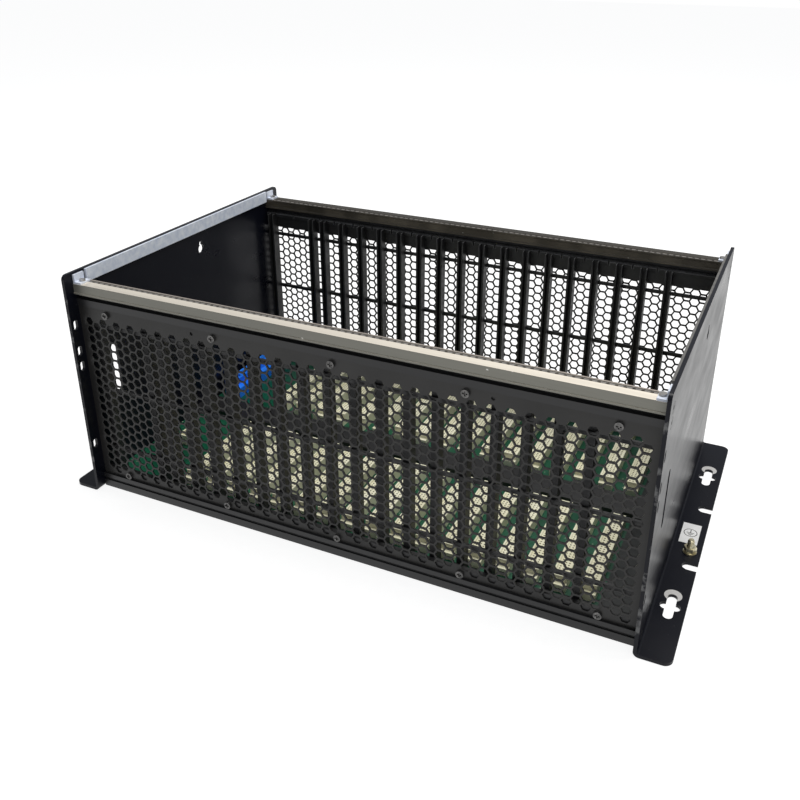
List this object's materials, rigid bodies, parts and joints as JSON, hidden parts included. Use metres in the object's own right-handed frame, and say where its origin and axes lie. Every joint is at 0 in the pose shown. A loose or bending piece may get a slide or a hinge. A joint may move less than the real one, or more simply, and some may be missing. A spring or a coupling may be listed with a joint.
{
  "type": "subrack card cage",
  "caption": "Open card cage of bent black side plates with rear mounting flanges, aluminium front rails, perforated grilles, card guides and backplane connectors.",
  "frame": {"origin": "centre of the plane of the rear flanges, under the middle of the cage", "axes": "+X along the width from the left to the right side plate, +Y along the card height away from the viewer, +Z from the rear flanges to the open front"},
  "size_m": [0.4826, 0.284, 0.186],
  "materials": {
    "black_steel": "satin",
    "bare_alloy": "satin",
    "zinc_strip": "satin",
    "black_alloy": "satin",
    "grille_steel": "satin",
    "guide_plastic": "matte",
    "board": "satin",
    "connector_plastic": "semi gloss",
    "terminal_plastic": "semi gloss",
    "screw_steel": "satin",
    "black_screw": "satin",
    "brass_part": "satin",
    "label_film": "matte"
  },
  "bodies": {
    "root": {"side_plate_left": "black_steel", "side_plate_right": "black_steel", "front_rail_near": "bare_alloy", "front_rail_far": "bare_alloy", "hole_strip_near": "zinc_strip", "hole_strip_far": "zinc_strip", "guide_carrier_near": "black_alloy", "guide_carrier_far": "black_alloy", "guide_bars_near": "black_alloy", "guide_bars_far": "black_alloy", "rear_rail_near": "black_alloy", "rear_rail_far": "black_alloy", "rear_rail_middle": "black_alloy", "grille_near": "grille_steel", "grille_far": "grille_steel", "card_guides_near": "guide_plastic", "card_guides_far": "guide_plastic", "backplane_near": "board", "backplane_far": "board", "connectors_near": "connector_plastic", "connectors_far": "connector_plastic", "power_header": "connector_plastic", "terminal_block": "terminal_plastic", "edge_strip_left": "zinc_strip", "edge_strip_right": "zinc_strip", "corner_brackets": "zinc_strip", "bracket_screws": "screw_steel", "grille_screws_near": "screw_steel", "grille_screws_far": "screw_steel", "board_screws": "screw_steel", "frame_screws_left": "black_screw", "frame_screws_right": "black_screw", "earth_stud": "brass_part", "earth_washers": "brass_part", "earth_nut": "brass_part", "earth_label": "label_film"}
  },
  "joints": []
}
